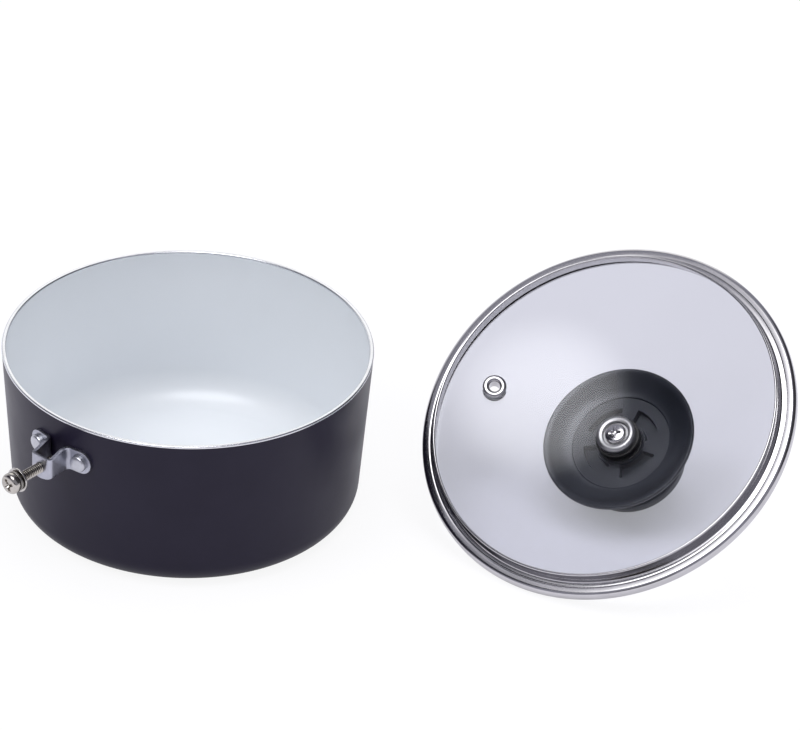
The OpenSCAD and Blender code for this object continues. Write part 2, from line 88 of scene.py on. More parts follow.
# Handle screw and its washers
SCREW_D = 4.8
SCREW_PITCH = 1.06
SCREW_LEN = 25.4
SCREW_OUT = 16.4
SCREW_DROP = 2.2
HEAD_D = 9.5
HEAD_H = 3.5
WASHER_D = 11.0
WASHER_T = 1.0
WASHER_GAP = 0.3
SPRING_D = 9.4
SPRING_T = 1.2
SPRING_H = 2.1
SPRING_SPLIT = 10.0
THREAD_DEPTH_SHARE = 0.61
THREAD_ROWS = 12
THREAD_STEPS = 48
FIT_GAP = 0.05

# Lid
BAND_D = 171.2
BAND_H = 5.6
SHEET_T = 0.7
BAND_ROUND = 1.6
BAND_ROLL = 2.0
SKIRT_GAP = 0.7
SKIRT_H = 6.0
SKIRT_DRAW = 0.6
SKIRT_LIP_R = 0.6
DOME_RISE = 19.0
VENT_REACH = 61.0
VENT_AZ = radians(88)
VENT_D = 10.8
VENT_BORE_D = 4.8
VENT_TUBE_T = 0.6
VENT_SEAL_T = 0.8
VENT_RING_T = 1.2
DRILL_OVER = 3.0

# Knob
KNOB_BASE_D = 70.0
GRIP_D = 49.4
KNOB_TOP_Z = 48.8
GRIP_H = 6.2
GRIP_ROUND = 3.0
WAIST_D = 23.0
HUB_D = 45.0
POCKET_H = 3.2
POCKET_AZ = radians(31)
POCKET_SPAN = radians(65)
POCKET_IN_R = 11.2
POCKET_OUT_R = 17.4
POCKETS = 4
POCKET_EDGE = 0.3
CUP_D = 18.2
CUP_H = 4.0
CUP_RECESS_R = 5.9
CUP_RECESS_H = 1.8
SEAL_R = 10.0
SEAL_T = 1.4
BUSH_T = 1.1
BUSH_R = 4.4
KNOB_HEAD_D = 9.7
KNOB_HEAD_H = 2.4
KNOB_SCREW_LEN = 20.0
INSERT_R = 4.2
INSERT_LEN = 14.0
INSERT_GROOVE = 0.5

# Where the lid lies
LID_GAP = 18.3
LID_AZ = radians(-53.1)
LOW_AZ = radians(-173)

# Derived places, as the frame has them
RIM_R = POT_RIM_D / 2
MOUTH_R = RIM_R - RIM_T
LIP_Z = POT_H - LIP_H
LAND_Z = POT_H - LAND_H


def wall_r(z):
    """Radius of the pot's outer line at a height."""
    return RIM_R - (POT_H - z) * tan(WALL_TAPER)


CORNER_X = wall_r(CORNER_R) - CORNER_R / cos(WALL_TAPER)
INNER_FOOT_Z = FLOOR_T + INNER_CORNER_R
INNER_FOOT_X = wall_r(INNER_FOOT_Z) - FOOT_T
INNER_TAPER = atan2(MOUTH_R - INNER_FOOT_X, LAND_Z - INNER_FOOT_Z)
INNER_CORNER_X = INNER_FOOT_X - INNER_CORNER_R / cos(INNER_TAPER)
WALL_X = wall_r(STRIP_Z)
PLATE_X = WALL_X + STANDOFF
LEG_Y = CHANNEL_W / 2
EAR_R = STRIP_H / 2
RIVET_AZ = asin(RIVET_Y / WALL_X)
THREAD_R = SCREW_D / 2
SCREW_Z = STRIP_Z - SCREW_DROP
HEAD_X = PLATE_X + SCREW_OUT
WASHER_X = HEAD_X - SPRING_H - WASHER_GAP - WASHER_T
BAND_R = BAND_D / 2
SKIRT_R = MOUTH_R - SKIRT_GAP
GLASS_T = BAND_H - 2 * SHEET_T
DOME_SAG = DOME_RISE - SHEET_T
DOME_R = (SKIRT_R**2 + DOME_SAG**2) / (2 * DOME_SAG)
DOME_Z = DOME_RISE - DOME_R
DOME_OUT_R = DOME_R + GLASS_T
DOME_OUT_EDGE = sqrt(DOME_OUT_R**2 - (SHEET_T + GLASS_T - DOME_Z) ** 2)
LAP_GAP = 0.2
TOP_LAP_R = DOME_OUT_EDGE + LAP_GAP
VENT_TILT = asin(VENT_REACH / DOME_R)


def dome_in(r):
    """Height of the glass's inner face at a radius."""
    return DOME_Z + sqrt(DOME_R**2 - r**2)


def dome_out(r):
    """Height of the glass's outer face at a radius."""
    return DOME_Z + sqrt(DOME_OUT_R**2 - r**2)


KNOB_BASE_R = KNOB_BASE_D / 2
GRIP_R = GRIP_D / 2
WAIST_R = WAIST_D / 2
HUB_R = HUB_D / 2
CUP_R = CUP_D / 2
GLASS_TOP_Z = DOME_RISE + GLASS_T
SEAL_Z = dome_in(SEAL_R) - SEAL_T
CUP_Z = SEAL_Z - CUP_H
KNOB_HEAD_Z = CUP_Z + CUP_RECESS_H
BOSS_Z = GLASS_TOP_Z + BUSH_T
HUB_LIFT = 1.0
HUB_Z = BOSS_Z + HUB_LIFT
BASE_EDGE_R = 0.9
BASE_Z = dome_out(KNOB_BASE_R - BASE_EDGE_R) + 0.1
WAIST_Z = HUB_Z + 12
GRIP_Z = KNOB_TOP_Z - GRIP_H

TOUCH_RUN = BAND_R - BAND_ROUND - (GRIP_R - GRIP_ROUND)
TOUCH_RISE = KNOB_TOP_Z - GRIP_ROUND - (BAND_H - BAND_ROUND)
LEAN = atan2(TOUCH_RISE, TOUCH_RUN) + asin((GRIP_ROUND - BAND_ROUND) / hypot(TOUCH_RUN, TOUCH_RISE))
LID_Z = sin(LEAN) * (BAND_R - BAND_ROUND) + cos(LEAN) * (BAND_H - BAND_ROUND) + BAND_ROUND
LID_REACH = RIM_R + BAND_R + LID_GAP


def turn(angle, axis):
    """A 4x4 rotation."""
    return Matrix.Rotation(angle, 4, axis)


def shift(x, y, z):
    """A 4x4 move, in millimetres."""
    return Matrix.Translation((x * MM, y * MM, z * MM))


AT_POT = Matrix.Identity(4)
AT_BRACKET = turn(pi, "Z")
AT_LID = turn(LID_AZ, "Z") @ shift(LID_REACH, 0, LID_Z) @ turn(LOW_AZ - LID_AZ, "Z")
AT_LID = AT_LID @ turn(LEAN, "Y") @ turn(pi, "X")
AT_VENT = AT_LID @ turn(VENT_AZ, "Z") @ shift(0, 0, DOME_Z) @ turn(VENT_TILT, "Y") @ shift(0, 0, DOME_R)


def at_screw(x):
    """Place whose +Z runs out along the handle screw's axis, from x."""
    return AT_BRACKET @ shift(x, 0, SCREW_Z) @ turn(pi / 2, "Y")


def at_rivet(side):
    """Place whose +Z runs out of the wall at a rivet."""
    foot = AT_BRACKET @ turn(side * RIVET_AZ, "Z") @ shift(WALL_X, 0, STRIP_Z)
    return foot @ turn(pi / 2 + WALL_TAPER, "Y")


def arc(centre, r, start, end, steps=8):
    """Points of an arc, from one angle to another, in degrees."""
    found = []
    for i in range(steps + 1):
        a = radians(start + (end - start) * i / steps)
        found.append((centre[0] + r * cos(a), centre[1] + r * sin(a)))
    return found


def bow(p, m, q, steps=12):
    """Points of a curve from p to q that is pulled towards m."""
    found = []
    for i in range(steps + 1):
        t = i / steps
        found.append(tuple((1 - t) ** 2 * a + 2 * t * (1 - t) * b + t**2 * c for a, b, c in zip(p, m, q)))
    return found


def line(p, q, steps):
    """Points from p to q without q."""
    return [tuple(a + (b - a) * i / steps for a, b in zip(p, q)) for i in range(steps)]


def dome_line(height, r_from, r_to, steps):
    """Points of the glass's inner or outer face between two radii."""
    return [(r, height(r)) for r in (r_from + (r_to - r_from) * i / steps for i in range(steps + 1))]


def finish_mesh(name, bm, place, sharp=SHARP):
    """Makes an object from bm, smooth except at sharp edges."""
    bmesh.ops.remove_doubles(bm, verts=bm.verts, dist=2 * TINY)
    bmesh.ops.recalc_face_normals(bm, faces=bm.faces)
    mesh = bpy.data.meshes.new(name)
    bm.to_mesh(mesh)
    bm.free()
    mesh.shade_smooth()
    mesh.set_sharp_from_angle(angle=sharp)
    piece = bpy.data.objects.new(name, mesh)
    bpy.context.scene.collection.objects.link(piece)
    piece.matrix_world = place
    return piece


def join_rings(bm, rings, closed):
    """Faces between neighbouring rings of vertices. A ring of one vertex is a pole."""
    pairs = list(zip(rings, rings[1:]))
    if closed:
        pairs.append((rings[-1], rings[0]))
    for low, high in pairs:
        count = max(len(low), len(high))
        if count == 1:
            continue
        for i in range(count):
            j = (i + 1) % count
            corners = [low[i % len(low)], low[j % len(low)], high[j % len(high)], high[i % len(high)]]
            unique = list(dict.fromkeys(corners))
            bm.faces.new(unique)


def level(r, z, angle):
    """The relief of a plain turned piece: none."""
    return 0


def lathe(name, outline, place, steps=ROUND_STEPS, spots=None, relief=level):
    """Turns a closed outline of (radius, height) points, in millimetres, round the place's Z axis.

    Spots are the angles of its columns, and relief adds a height by radius, height and angle.
    """
    bm = bmesh.new()
    rings = []
    spots = spots or [2 * pi * i / steps for i in range(steps)]
    for r, z in outline:
        if r < TINY:
            rings.append([bm.verts.new((0, 0, z * MM))])
        else:
            rings.append([
                bm.verts.new((r * MM * cos(a), r * MM * sin(a), (z + relief(r, z, a)) * MM)) for a in spots
            ])
    join_rings(bm, rings, closed=True)
    return finish_mesh(name, bm, place)


def cut(piece, cutters, bevel=0.0, segments=2):
    """Takes the cutters out of a piece, rounds what is sharp and keeps the result as its mesh."""
    for cutter in cutters:
        modifier = piece.modifiers.new("cut", "BOOLEAN")
        modifier.object = cutter
        modifier.operation = "DIFFERENCE"
        modifier.solver = "EXACT"
    if bevel:
        rounding = piece.modifiers.new("round", "BEVEL")
        rounding.width = bevel * MM
        rounding.segments = segments
        rounding.limit_method = "ANGLE"
        rounding.angle_limit = SHARP
        rounding.harden_normals = False
    bpy.context.view_layer.update()
    done = bpy.data.meshes.new_from_object(piece.evaluated_get(bpy.context.evaluated_depsgraph_get()))
    piece.modifiers.clear()
    piece.data = done
    done.shade_smooth()
    done.set_sharp_from_angle(angle=SHARP)
    for cutter in cutters:
        bpy.data.objects.remove(cutter)
    return piece


def settle(piece):
    """Keeps the piece's own coordinates for its patterns and brings its mesh into the row frame."""
    mesh = piece.data
    own = mesh.attributes.new("own", "FLOAT_VECTOR", "POINT")
    spots = [0.0] * (3 * len(mesh.vertices))
    mesh.vertices.foreach_get("co", spots)
    own.data.foreach_set("vector", spots)
    mesh.transform(piece.matrix_world)
    piece.matrix_world = Matrix.Identity(4)


def outer_line(inset, top):
    """The pot's outer face, moved in, from the base to a height."""
    corner = arc((CORNER_X, CORNER_R), CORNER_R - inset, -90, -degrees(WALL_TAPER), 16)
    foot = corner.pop()
    return corner + line(foot, (wall_r(top) - inset / cos(WALL_TAPER), top), 12) + [
        (wall_r(top) - inset / cos(WALL_TAPER), top)
    ]


def inner_line(outset, top):
    """The pot's inner face, moved out, from a height down to the floor's middle."""
    corner = arc(
        (INNER_CORNER_X, INNER_FOOT_Z), INNER_CORNER_R + outset, -degrees(INNER_TAPER), -90, 16
    )
    land = [(MOUTH_R + outset, top), (MOUTH_R + outset, LAND_Z)]
    wall = line((MOUTH_R + outset, LAND_Z), corner[0], 12)[1:]
    return land + wall + corner + line(corner[-1], (0, FLOOR_T - outset), 8)[1:] + [(0, FLOOR_T - outset)]


def make_pot():
    """The aluminium pot with turned rings under its base, its dark coat and its white lining."""
    rings = []
    for i in range(1, BASE_RINGS + 1):
        middle = CORNER_X * BASE_RING_SHARE * i / BASE_RINGS
        rings += [(middle - BASE_RING_W, 0), (middle, BASE_RING_T), (middle + BASE_RING_W, 0)]
    lip = arc((RIM_R - LIP_ROUND, POT_H - LIP_ROUND), LIP_ROUND, 0, 90)
    lip += arc((MOUTH_R + LIP_ROUND, POT_H - LIP_ROUND), LIP_ROUND, 90, 180)
    body = [(0, 0)] + rings + [(CORNER_X, 0)] + outer_line(COAT_T, LIP_Z)[1:]
    body += [(wall_r(LIP_Z), LIP_Z)] + lip + [(MOUTH_R, LIP_Z)] + inner_line(COAT_T, LIP_Z)
    yield lathe("Pot_Body", body, AT_POT), "pot_body"
    coat = outer_line(COAT_T, LIP_Z) + outer_line(0, LIP_Z)[::-1]
    yield lathe("Exterior_Coating", coat, AT_POT), "exterior_coating"
    lining = inner_line(COAT_T, LIP_Z) + inner_line(0, LIP_Z)[::-1]
    yield lathe("Ceramic_Lining", lining, AT_POT), "ceramic_lining"


def bracket_path(side):
    """Middle of the bent strip in plan, from the front plate out to the ear's end: points, each
    with its distance along the strip and how far it leans with the wall."""
    middle = STRIP_T / 2
    ear_y = LEG_Y + EAR_BEND_R
    ear_x = sqrt(WALL_X**2 - ear_y**2)
    leg_end = ear_x + STRIP_T + EAR_BEND_R
    path = line((PLATE_X - middle, 0), (PLATE_X - middle, LEG_Y - BEND_R), 6)
    path += arc((PLATE_X - BEND_R, LEG_Y - BEND_R), BEND_R - middle, 0, 90, 8)
    path += line((PLATE_X - BEND_R, LEG_Y - middle), (leg_end, LEG_Y - middle), 8)[1:]
    path += arc((leg_end, ear_y), EAR_BEND_R + middle, 270, 180, 8)
    r = WALL_X + middle
    start = asin(ear_y / WALL_X)
    end = asin(RIVET_Y / WALL_X) + EAR_R / r
    swing = asin(RIVET_Y / WALL_X)
    straight = [start + (swing - start) * i / 6 for i in range(1, 7)]
    rounded = [swing + (end - swing) * sin(pi / 2 * i / 14) for i in range(1, 15)]
    path += [(r * cos(a), r * sin(a)) for a in straight + rounded]
    found, s = [], 0.0
    for i, (x, y) in enumerate(path):
        if i:
            s += hypot(x - path[i - 1][0], y - path[i - 1][1])
        lean = min(max((PLATE_X - x) / (PLATE_X - leg_end), 0), 1)
        found.append((x, side * y, s, lean))
    return found


def make_bracket():
    """The handle bracket: one bent strip with round ears, a drooping front plate and a screw hole."""
    rows = 10
    bm = bmesh.new()
    half_path = bracket_path(1)
    path = bracket_path(-1)[:0:-1] + half_path
    ear_start = half_path[-1][2] - EAR_R
    slope_x = WALL_X + STRIP_T + EAR_BEND_R
    columns = []
    for x, y, s, lean in path:
        over = min(max((s - ear_start) / EAR_R, 0), 1)
        half = EAR_R * sqrt(max(1 - over**2, 0.0004))
        drop = TAB_DROP * max(cos(min(s / TAB_REACH, 1) * pi / 2), 0) ** 2
        slope = min(max((x - slope_x) / (PLATE_X - BEND_R - slope_x), 0), 1)
        column = []
        for i in range(rows + 1):
            h = -half - drop + (2 * half + drop - PLATE_DROP * slope) * i / rows
            column.append(bm.verts.new(((x + lean * h * tan(WALL_TAPER)) * MM, y * MM, (STRIP_Z + h) * MM)))
        columns.append(column)
    for left, right in zip(columns, columns[1:]):
        for i in range(rows):
            bm.faces.new((left[i], right[i], right[i + 1], left[i + 1]))
    piece = finish_mesh("Handle_Bracket", bm, AT_BRACKET)
    thick = piece.modifiers.new("sheet", "SOLIDIFY")
    thick.thickness = STRIP_T * MM
    thick.offset = 0
    thick.use_even_offset = True
    bore = THREAD_R + FIT_GAP
    drill = [(0, 0), (bore, 0), (bore, STANDOFF), (0, STANDOFF)]
    hole = lathe("hole", drill, at_screw(PLATE_X - STRIP_T * 2), SMALL_STEPS)
    return cut(piece, [hole], bevel=0.28, segments=3)


def rivet_outline():
    """A pan-like domed head outside, a shank through the wall, and a flatter head inside."""
    head_r = RIVET_HEAD_D / 2
    side_z = STRIP_T + RIVET_HEAD_H * RIVET_SIDE_SHARE
    top = (0, STRIP_T + RIVET_HEAD_H)
    back = RIM_T + 0.1
    inner_r = (RIVET_HEAD_D + RIVET_INNER_H) / 2
    outline = [(0, -back - RIVET_INNER_H)]
    outline += bow(outline[0], (inner_r * 0.7, -back - RIVET_INNER_H), (inner_r, -back))[1:]
    outline += [(RIVET_D / 2, -back), (RIVET_D / 2, STRIP_T), (head_r, STRIP_T)]
    outline += [(head_r, side_z)]
    outline += bow((head_r, side_z), (head_r - 0.1, top[1] - 0.25), (head_r * 0.55, top[1] - 0.12))[1:]
    outline += bow((head_r * 0.55, top[1] - 0.12), (head_r * 0.3, top[1]), top, 6)[1:]
    return outline


def thread_bar(bm, length, root, crest, pitch):
    """A right-hand helical thread from z = 0 to a length, faded at its tip, as rings of bm's vertices."""
    groove, flank, run_in = 0.14, 0.66, 1.2
    rings = []
    for j in range(int(length / pitch * THREAD_ROWS)):
        z = j * pitch / THREAD_ROWS
        fade = min(z / (pitch * run_in), 1)
        ring = []
        for i in range(THREAD_STEPS):
            share = (z / pitch - i / THREAD_STEPS) % 1
            tooth = min(max((min(share, 1 - share) * 2 - groove) / flank, 0), 1)
            r = root + (crest - root) * tooth * fade
            a = 2 * pi * i / THREAD_STEPS
            ring.append(bm.verts.new((r * MM * cos(a), r * MM * sin(a), z * MM)))
        rings.append(ring)
    return rings


def head_outline(length, d, h, root):
    """A pan head's outline, from the shank at z = length up to the middle of its top."""
    corner_r = 0.25
    cap = (d / 2 * 0.6, length + h - 0.28)
    head = [(root, length), (d / 2 - corner_r, length)]
    head += arc((d / 2 - corner_r, length + corner_r), corner_r, -90, 0, 4)
    head += bow((d / 2, length + h * 0.36), (d / 2 - 0.1, length + h * 0.86), cap, 12)
    return head + bow(cap, (d / 4 * 0.5, length + h), (0, length + h), 6)[1:]


def cross_cutters(length, d, h, place):
    """Two tapered wings and a core that take a cross recess out of a head."""
    cutters = []
    for k in range(2):
        bm = bmesh.new()
        ends = []
        for z, long, wide in ((-h * 0.6, 0.12, 0.04), (0.2, 0.36, 0.085)):
            x, y = d * long, d * wide
            ends.append([
                bm.verts.new((u * x * MM, v * y * MM, (length + h + z) * MM))
                for u, v in ((-1, -1), (1, -1), (1, 1), (-1, 1))
            ])
        join_rings(bm, ends, closed=False)
        bm.faces.new(ends[0])
        bm.faces.new(ends[1])
        cutters.append(finish_mesh("cross", bm, place @ turn(pi / 2 * k + pi / 7, "Z")))
    low, high = length + h * 0.4, length + h + 0.2
    core = [(0, low), (d * 0.03, low), (d * 0.2, high), (0, high)]
    return cutters + [lathe("core", core, place, 24)]


def machine_screw(name, length, d, h, place):
    """A helical thread with a pan head and a cross recess: z = 0 is the tip."""
    root = THREAD_R - SCREW_PITCH * THREAD_DEPTH_SHARE
    bm = bmesh.new()
    rings = [[bm.verts.new((0, 0, 0))]]
    rings += thread_bar(bm, length, root, THREAD_R, SCREW_PITCH)
    for r, z in head_outline(length, d, h, root):
        if r < TINY:
            rings.append([bm.verts.new((0, 0, z * MM))])
        else:
            rings.append([
                bm.verts.new((r * MM * cos(a), r * MM * sin(a), z * MM))
                for a in (2 * pi * i / THREAD_STEPS for i in range(THREAD_STEPS))
            ])
    join_rings(bm, rings, closed=False)
    piece = finish_mesh(name, bm, place)
    return cut(piece, cross_cutters(length, d, h, place), bevel=0.08, segments=1)


def make_spring_washer():
    """One split turn of nearly square wire, its ends set apart by the free height."""
    steps, corner_r = 72, 0.25
    inner, outer = THREAD_R + 2 * FIT_GAP, SPRING_D / 2
    rise = SPRING_H - SPRING_T
    section = []
    for x, z, start in (
        (outer - corner_r, corner_r, -90), (outer - corner_r, SPRING_T - corner_r, 0),
        (inner + corner_r, SPRING_T - corner_r, 90), (inner + corner_r, corner_r, 180),
    ):
        section += arc((x, z), corner_r, start, start + 90, 4)
    bm = bmesh.new()
    rings = []
    for i in range(steps + 1):
        a = radians(SPRING_SPLIT / 2 + (360 - SPRING_SPLIT) * i / steps)
        lift = rise * i / steps
        rings.append([bm.verts.new((r * MM * cos(a), r * MM * sin(a), (z + lift) * MM)) for r, z in section])
    join_rings(bm, rings, closed=False)
    bm.faces.new(rings[0])
    bm.faces.new(rings[-1])
    return finish_mesh("Spring_Washer", bm, at_screw(HEAD_X - SPRING_H))


def washer_outline(inner, outer, thickness, edge):
    """A flat ring with rounded outer edges."""
    outline = [(inner, edge / 2), (inner + edge / 2, 0)]
    outline += arc((outer - edge, edge), edge, -90, 0, 5)
    outline += arc((outer - edge, thickness - edge), edge, 0, 90, 5)
    return outline + [(inner + edge / 2, thickness), (inner, thickness - edge / 2)]


def make_hardware():
    """The bracket, its rivets, and the handle screw with its two washers."""
    yield make_bracket(), "handle_bracket"
    for number, side in ((1, -1), (2, 1)):
        rivet = lathe(f"Bracket_Rivet_{number}", rivet_outline(), at_rivet(side), SMALL_STEPS)
        yield rivet, f"bracket_rivet_{number}"
    screw = machine_screw("Handle_Screw", SCREW_LEN, HEAD_D, HEAD_H, at_screw(HEAD_X - SCREW_LEN))
    yield screw, "handle_screw"
    yield make_spring_washer(), "spring_washer"
    flat = washer_outline(THREAD_R + 3 * FIT_GAP, WASHER_D / 2, WASHER_T, 0.22)
    yield lathe("Flat_Washer", flat, at_screw(WASHER_X), SMALL_STEPS), "flat_washer"


def band_outline():
    """One bent sheet: top lap, rolled wall, a flange with a faint bead, a skirt with a rolled lip."""
    lip = (SKIRT_R - SKIRT_DRAW - SKIRT_LIP_R, SKIRT_LIP_R - SKIRT_H)
    inner_round = BAND_ROLL - SHEET_T
    edge = BAND_R - BAND_ROLL
    bead_r = (edge + SKIRT_R) / 2
    bead_w, bead_h = 0.6, 0.07
    outline = [(TOP_LAP_R, BAND_H)]
    outline += arc((edge, BAND_H - BAND_ROLL), BAND_ROLL, 90, 0, 16)
    outline += arc((edge, BAND_ROLL), BAND_ROLL, 0, -90, 16)
    for i in range(13):
        t = i / 12
        outline.append((bead_r + bead_w - 2 * bead_w * t, bead_h * sin(pi * t) ** 2))
    outline += arc((SKIRT_R + 0.5, -0.5), 0.5, 90, 180, 6)
    outline += arc(lip, SKIRT_LIP_R, 0, -260, 20)
    outline += bow((SKIRT_R - SHEET_T, -0.6), (SKIRT_R - SHEET_T, SHEET_T), (SKIRT_R + 0.3, SHEET_T), 6)
    outline += arc((edge, BAND_ROLL), inner_round, -90, 0)
    outline += arc((edge, BAND_H - BAND_ROLL), inner_round, 0, 90)
    return outline + [(TOP_LAP_R, BAND_H - SHEET_T)]


def glass_outline():
    """The dome's section with its flat edge inside the band."""
    edge, inner_round = BAND_R - BAND_ROLL, BAND_ROLL - SHEET_T
    hole = BUSH_R + FIT_GAP
    outline = dome_line(dome_in, hole, SKIRT_R, 48)
    outline += arc((edge, SHEET_T + inner_round), inner_round, -90, 0)
    outline += arc((edge, SHEET_T + GLASS_T - inner_round), inner_round, 0, 90)
    return outline + dome_line(dome_out, DOME_OUT_EDGE, hole, 48)


def vent_outlines():
    """The vent's eyelet, outer washer and clear gasket, each with z = 0 on the glass's inner face."""
    seal_t, ring_t, tube_t = VENT_SEAL_T, VENT_RING_T, VENT_TUBE_T
    bore, outer = VENT_BORE_D / 2, VENT_D / 2
    tube = bore + tube_t
    ring_z = -seal_t - ring_t
    end_z = GLASS_T + seal_t + ring_t
    flare = tube + ring_t
    crest, swell = (bore + outer) / 2, (outer - bore) / 2
    eyelet = [(crest + swell * x, ring_z + (ring_t - 0.1) * (1 + z)) for x, z in arc((0, 0), 1, 180, 360, 24)]
    eyelet += [(outer, -seal_t - 0.1), (outer - 0.1, -seal_t), (tube, -seal_t), (tube, end_z - tube_t)]
    eyelet += [(flare, end_z - tube_t)] + arc((flare - tube_t / 2, end_z - tube_t / 2), tube_t / 2, 0, 90)
    eyelet += arc((bore + tube_t, end_z - tube_t), tube_t, 90, 180)
    z = GLASS_T + seal_t
    cap = [(tube, z), (outer, z)] + arc((outer - tube_t, z), tube_t, 0, 90) + [(tube, z + tube_t)]
    hole = tube + seal_t
    seal = outer - ring_t / 2
    seat = DOME_R - sqrt(DOME_R**2 - seal**2) + FIT_GAP
    gasket = [(tube, -seal_t), (seal, -seal_t), (seal, -seat), (hole, -seat)]
    gasket += [(hole, GLASS_T), (seal, GLASS_T), (seal, z), (tube, z)]
    return eyelet, cap, gasket


def pocket_depth(r, z, angle):
    """How deep the pockets in the hub's face are at a radius, a height and an angle."""
    if abs(z - HUB_Z) > TINY or not POCKET_IN_R <= r <= POCKET_OUT_R:
        return 0
    turned_by = (angle - POCKET_AZ + pi / POCKETS) % (2 * pi / POCKETS) - pi / POCKETS
    inside = min(r - POCKET_IN_R, POCKET_OUT_R - r, (POCKET_SPAN / 2 - abs(turned_by)) * r)
    share = min(max(inside / POCKET_EDGE, 0), 1)
    return POCKET_H * share**2 * (3 - 2 * share)


def knob_outline():
    """The knob's section: hub, skirt, waist, grip and dished top."""
    lip_r = KNOB_BASE_R - 2.4
    edge_z = BASE_Z + 2.2
    round_r = BASE_EDGE_R
    top_r = GRIP_R - GRIP_ROUND
    boss_r = 10.6
    outline = [(0, BOSS_Z), (boss_r - 0.2, BOSS_Z), (boss_r, BOSS_Z + 0.2), (boss_r, HUB_Z)]
    outline += [(POCKET_IN_R + POCKET_EDGE * i / 4, HUB_Z) for i in range(5)]
    outline += [(POCKET_OUT_R - POCKET_EDGE * i / 4, HUB_Z) for i in range(4, -1, -1)]
    outline += [(HUB_R, HUB_Z), (HUB_R + 0.12, HUB_Z - 0.45), (HUB_R + 0.45, HUB_Z - 0.6)]
    under_lip = (lip_r, dome_out(lip_r) + 0.1)
    outline += bow((HUB_R + 1, HUB_Z - 0.62), ((HUB_R + lip_r) / 2, HUB_Z - HUB_LIFT), under_lip)
    outline += arc((KNOB_BASE_R - round_r, BASE_Z + round_r), round_r, -90, 0)
    outline += arc((KNOB_BASE_R - round_r, edge_z - round_r), round_r, 0, 90)
    outline += bow((lip_r, edge_z), (WAIST_R + 1, (HUB_Z + WAIST_Z) / 2), (WAIST_R, WAIST_Z), 20)[1:]
    outline += bow((WAIST_R, WAIST_Z), (WAIST_R + 1, GRIP_Z - 1), (GRIP_R - 1.2, GRIP_Z), 16)[1:]
    outline += arc((GRIP_R - 1.2, GRIP_Z + 1.2), 1.2, -90, 0)
    outline += arc((top_r, KNOB_TOP_Z - GRIP_ROUND), GRIP_ROUND, 0, 90, 12)
    outline += bow((top_r, KNOB_TOP_Z), (top_r / 2, KNOB_TOP_Z - 0.5), (0, KNOB_TOP_Z - 0.5), 12)[1:]
    return outline


def make_knob_body():
    """The moulded knob with four arc pockets round its hub, with close columns at their ends."""
    spots = {round(2 * pi * i / 192, 6) for i in range(192)}
    for k in range(POCKETS):
        for end in (-POCKET_SPAN / 2, POCKET_SPAN / 2):
            middle = POCKET_AZ + 2 * pi * k / POCKETS + end
            spots |= {round((middle + POCKET_EDGE / POCKET_IN_R * i / 4) % (2 * pi), 6) for i in range(-4, 5)}
    return lathe("Knob_Body", knob_outline(), AT_LID, spots=sorted(spots), relief=pocket_depth)


def cup_outline():
    """A turned cup washer: straight side, rounded crest, and a dish that falls to the head's recess."""
    bore = THREAD_R + 2 * FIT_GAP
    crest = 1.9
    outline = [(bore, KNOB_HEAD_Z), (CUP_RECESS_R - 0.2, KNOB_HEAD_Z), (CUP_RECESS_R, KNOB_HEAD_Z - 0.2)]
    outline += [(CUP_RECESS_R, CUP_Z + 0.45), (CUP_RECESS_R + 0.2, CUP_Z + 0.2)]
    outline += arc((CUP_R - crest, CUP_Z + crest), crest, -100, 0, 14)
    outline += [(CUP_R, SEAL_Z - 1.0), (CUP_R - 0.12, SEAL_Z - 0.9), (CUP_R - 0.12, SEAL_Z - 0.1)]
    return outline + [(CUP_R - 0.3, SEAL_Z), (bore, SEAL_Z)]


def bush_outline():
    """A sleeve through the glass, with a flange between the glass and the knob."""
    bore, low, high = THREAD_R + 2 * FIT_GAP, SEAL_Z + SEAL_T, GLASS_TOP_Z + BUSH_T
    edge = 0.25
    outline = [(bore, low), (BUSH_R - edge, low), (BUSH_R, low + edge), (BUSH_R, GLASS_TOP_Z)]
    outline += [(SEAL_R - edge, GLASS_TOP_Z)] + arc((SEAL_R - edge, GLASS_TOP_Z + edge), edge, -90, 0, 4)
    return outline + arc((SEAL_R - edge, high - edge), edge, 0, 90, 4) + [(bore, high)]


def insert_outline():
    """A turned insert with two grooves."""
    bore, low, high = THREAD_R + FIT_GAP, BOSS_Z + SHEET_T, BOSS_Z + SHEET_T + INSERT_LEN
    outline = [(bore, low), (INSERT_R, low)]
    for share in (1 / 3, 2 / 3):
        z = low + INSERT_LEN * share
        outline += [(INSERT_R, z), (INSERT_R - INSERT_GROOVE, z)]
        outline += [(INSERT_R - INSERT_GROOVE, z + INSERT_GROOVE), (INSERT_R, z + INSERT_GROOVE)]
    return outline + [(INSERT_R, high), (bore, high)]


